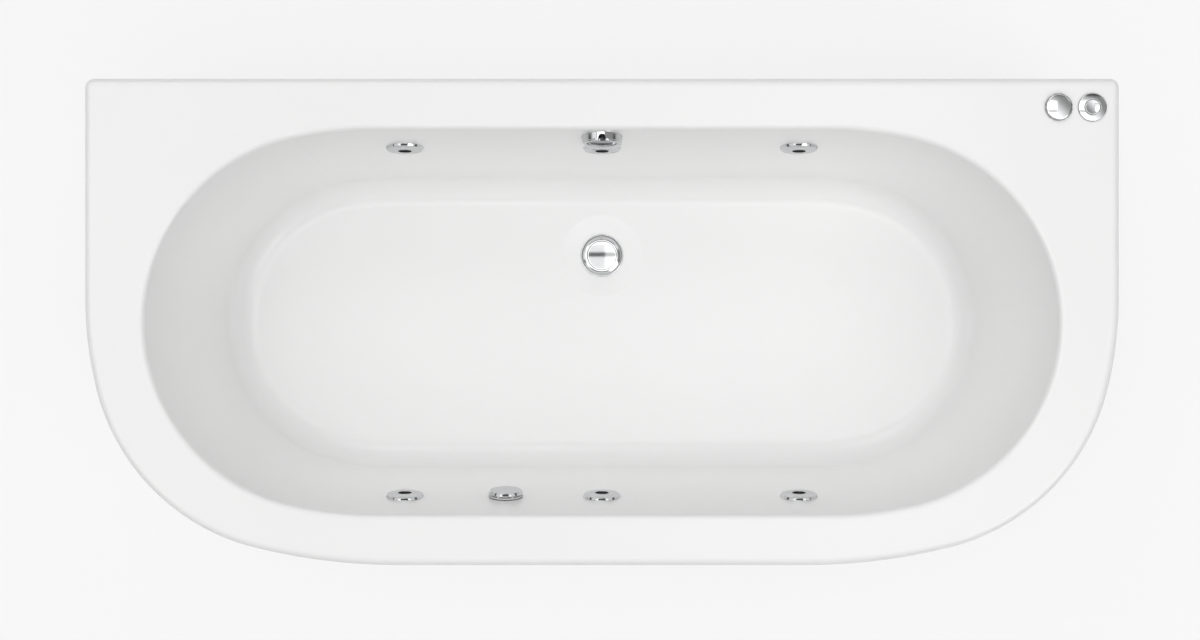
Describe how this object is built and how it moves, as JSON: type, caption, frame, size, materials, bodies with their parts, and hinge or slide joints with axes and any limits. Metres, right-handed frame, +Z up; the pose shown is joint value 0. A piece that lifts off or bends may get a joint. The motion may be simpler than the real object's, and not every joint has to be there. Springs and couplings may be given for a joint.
{
  "type": "jetted bathtub",
  "caption": "D-shaped double-ended jetted bath with side jets, suction cover, pop-up waste, deck controls, apron panel, steel cradle, pump and pipework.",
  "frame": {"origin": "on the floor under the middle of the rim", "axes": "+X along the bath towards the deck controls, +Y towards the room's wall, +Z up; the curved front faces -Y"},
  "size_m": [1.7, 0.8, 0.5885],
  "materials": {
    "white_acrylic": "gloss",
    "apron_acrylic": "gloss",
    "chipboard": "raw board",
    "softwood": "planed",
    "zinc_steel": "zinc plated",
    "nut_steel": "zinc plated",
    "foot_steel": "zinc plated",
    "white_moulding": "satin",
    "grey_moulding": "satin",
    "dark_moulding": "satin",
    "black_moulding": "satin",
    "cowl_moulding": "satin",
    "impeller_moulding": "satin",
    "black_rubber": "matt",
    "black_sheath": "satin",
    "clear_hose": "translucent",
    "white_pipe": "satin",
    "chrome": "polished",
    "chrome_plug": "polished",
    "bearing_steel": "ground",
    "motor_paint": "satin paint"
  },
  "bodies": {
    "bath": {"bath_shell": "white_acrylic", "base_board": "chipboard", "rim_battens": "softwood", "cradle_frame": "zinc_steel", "pump_shelf": "zinc_steel", "foot_nuts": "nut_steel", "jet_bodies": "white_moulding", "fitting_gaskets": "black_rubber", "fitting_nuts": "grey_moulding", "suction_body": "white_moulding", "suction_cover": "chrome", "waste_flange": "chrome", "waste_body": "white_moulding", "waste_trap": "white_moulding", "drain_seals": "black_rubber", "overflow_body": "white_moulding", "overflow_pipe": "white_pipe", "popup_cable": "black_sheath", "air_valve": "white_moulding", "switch_body": "white_moulding", "switch_bezel": "chrome", "control_nuts": "grey_moulding", "pump_casing": "black_moulding", "pump_cover": "black_moulding", "motor_bearings": "bearing_steel", "motor_housing": "motor_paint", "fan_cowl": "cowl_moulding", "terminal_box": "cowl_moulding", "pressure_manifold": "white_pipe", "suction_pipe": "white_pipe", "jet_link_pipes": "white_pipe", "jet_link_hoses": "clear_hose", "air_hose_back": "clear_hose", "air_hose_front": "clear_hose", "switch_tube": "clear_hose", "switch_bellows": "black_rubber"},
    "apron": {"apron_panel": "apron_acrylic"},
    "foot_front_left": {"foot_front_left": "foot_steel"},
    "foot_front_right": {"foot_front_right": "foot_steel"},
    "foot_back_left": {"foot_back_left": "foot_steel"},
    "foot_back_right": {"foot_back_right": "foot_steel"},
    "jet_cap_back_left": {"jet_cap_back_left": "chrome"},
    "jet_eyeball_back_left": {"jet_eyeball_back_left": "dark_moulding"},
    "jet_cap_back_middle": {"jet_cap_back_middle": "chrome"},
    "jet_eyeball_back_middle": {"jet_eyeball_back_middle": "dark_moulding"},
    "jet_cap_back_right": {"jet_cap_back_right": "chrome"},
    "jet_eyeball_back_right": {"jet_eyeball_back_right": "dark_moulding"},
    "jet_cap_front_left": {"jet_cap_front_left": "chrome"},
    "jet_eyeball_front_left": {"jet_eyeball_front_left": "dark_moulding"},
    "jet_cap_front_middle": {"jet_cap_front_middle": "chrome"},
    "jet_eyeball_front_middle": {"jet_eyeball_front_middle": "dark_moulding"},
    "jet_cap_front_right": {"jet_cap_front_right": "chrome"},
    "jet_eyeball_front_right": {"jet_eyeball_front_right": "dark_moulding"},
    "overflow_knob": {"overflow_knob": "chrome"},
    "waste_plug": {"waste_plug": "chrome_plug"},
    "air_knob": {"air_knob": "chrome"},
    "switch_button": {"switch_button": "chrome"},
    "pump_rotor": {"impeller": "impeller_moulding", "pump_shaft": "bearing_steel", "motor_fan": "cowl_moulding"}
  },
  "joints": [
    {"name": "apron_slide", "type": "slide", "parent": "bath", "child": "apron", "axis": [0, -1, 0], "range_m": [0, 0.85]},
    {"name": "foot_front_left_height", "type": "slide", "parent": "bath", "child": "foot_front_left", "axis": [0, 0, -1], "range_m": [0, 0.015]},
    {"name": "foot_front_right_height", "type": "slide", "parent": "bath", "child": "foot_front_right", "axis": [0, 0, -1], "range_m": [0, 0.015]},
    {"name": "foot_back_left_height", "type": "slide", "parent": "bath", "child": "foot_back_left", "axis": [0, 0, -1], "range_m": [0, 0.015]},
    {"name": "foot_back_right_height", "type": "slide", "parent": "bath", "child": "foot_back_right", "axis": [0, 0, -1], "range_m": [0, 0.015]},
    {"name": "jet_back_left_flow", "type": "hinge", "parent": "bath", "child": "jet_cap_back_left", "pos_m": [-0.332, 0.29439, 0.458], "axis": [0, -0.9833, 0.1822], "range_deg": [0, 90]},
    {"name": "jet_back_left_aim", "type": "hinge", "parent": "jet_cap_back_left", "child": "jet_eyeball_back_left", "pos_m": [-0.332, 0.2993, 0.45709], "axis": [1, 0, 0], "range_deg": [-15, 15]},
    {"name": "jet_back_middle_flow", "type": "hinge", "parent": "bath", "child": "jet_cap_back_middle", "pos_m": [0, 0.29439, 0.458], "axis": [0, -0.9833, 0.1822], "range_deg": [0, 90]},
    {"name": "jet_back_middle_aim", "type": "hinge", "parent": "jet_cap_back_middle", "child": "jet_eyeball_back_middle", "pos_m": [0, 0.2993, 0.45709], "axis": [1, 0, 0], "range_deg": [-15, 15]},
    {"name": "jet_back_right_flow", "type": "hinge", "parent": "bath", "child": "jet_cap_back_right", "pos_m": [0.332, 0.29439, 0.458], "axis": [0, -0.9833, 0.1822], "range_deg": [0, 90]},
    {"name": "jet_back_right_aim", "type": "hinge", "parent": "jet_cap_back_right", "child": "jet_eyeball_back_right", "pos_m": [0.332, 0.2993, 0.45709], "axis": [1, 0, 0], "range_deg": [-15, 15]},
    {"name": "jet_front_left_flow", "type": "hinge", "parent": "bath", "child": "jet_cap_front_left", "pos_m": [-0.332, -0.29439, 0.458], "axis": [0, 0.9833, 0.1822], "range_deg": [0, 90]},
    {"name": "jet_front_left_aim", "type": "hinge", "parent": "jet_cap_front_left", "child": "jet_eyeball_front_left", "pos_m": [-0.332, -0.2993, 0.45709], "axis": [1, 0, 0], "range_deg": [-15, 15]},
    {"name": "jet_front_middle_flow", "type": "hinge", "parent": "bath", "child": "jet_cap_front_middle", "pos_m": [0, -0.29439, 0.458], "axis": [0, 0.9833, 0.1822], "range_deg": [0, 90]},
    {"name": "jet_front_middle_aim", "type": "hinge", "parent": "jet_cap_front_middle", "child": "jet_eyeball_front_middle", "pos_m": [0, -0.2993, 0.45709], "axis": [1, 0, 0], "range_deg": [-15, 15]},
    {"name": "jet_front_right_flow", "type": "hinge", "parent": "bath", "child": "jet_cap_front_right", "pos_m": [0.332, -0.29439, 0.458], "axis": [0, 0.9833, 0.1822], "range_deg": [0, 90]},
    {"name": "jet_front_right_aim", "type": "hinge", "parent": "jet_cap_front_right", "child": "jet_eyeball_front_right", "pos_m": [0.332, -0.2993, 0.45709], "axis": [1, 0, 0], "range_deg": [-15, 15]},
    {"name": "overflow_knob_turn", "type": "hinge", "parent": "bath", "child": "overflow_knob", "pos_m": [0, 0.30773, 0.53], "axis": [0, -0.9833, 0.1822], "range_deg": [0, 90]},
    {"name": "waste_plug_lift", "type": "slide", "parent": "bath", "child": "waste_plug", "axis": [0, 0, 1], "range_m": [0, 0.01]},
    {"name": "air_knob_turn", "type": "hinge", "parent": "bath", "child": "air_knob", "pos_m": [0.749, 0.3525, 0.58], "axis": [0, 0, 1], "range_deg": [0, 270]},
    {"name": "switch_button_press", "type": "slide", "parent": "bath", "child": "switch_button", "axis": [0, 0, -1], "range_m": [0, 0.004], "stiffness_N_per_m": 800, "springref_m": -0.004, "deforming": ["switch_bellows"]},
    {"name": "pump_spin", "type": "hinge", "parent": "bath", "child": "pump_rotor", "pos_m": [-0.738, -0.06, 0.156], "axis": [0, 1, 0], "continuous": true}
  ],
  "couplings": [
    {"joint": "waste_plug_lift", "follows": "overflow_knob_turn", "m_per_rad": 0.006366}
  ]
}
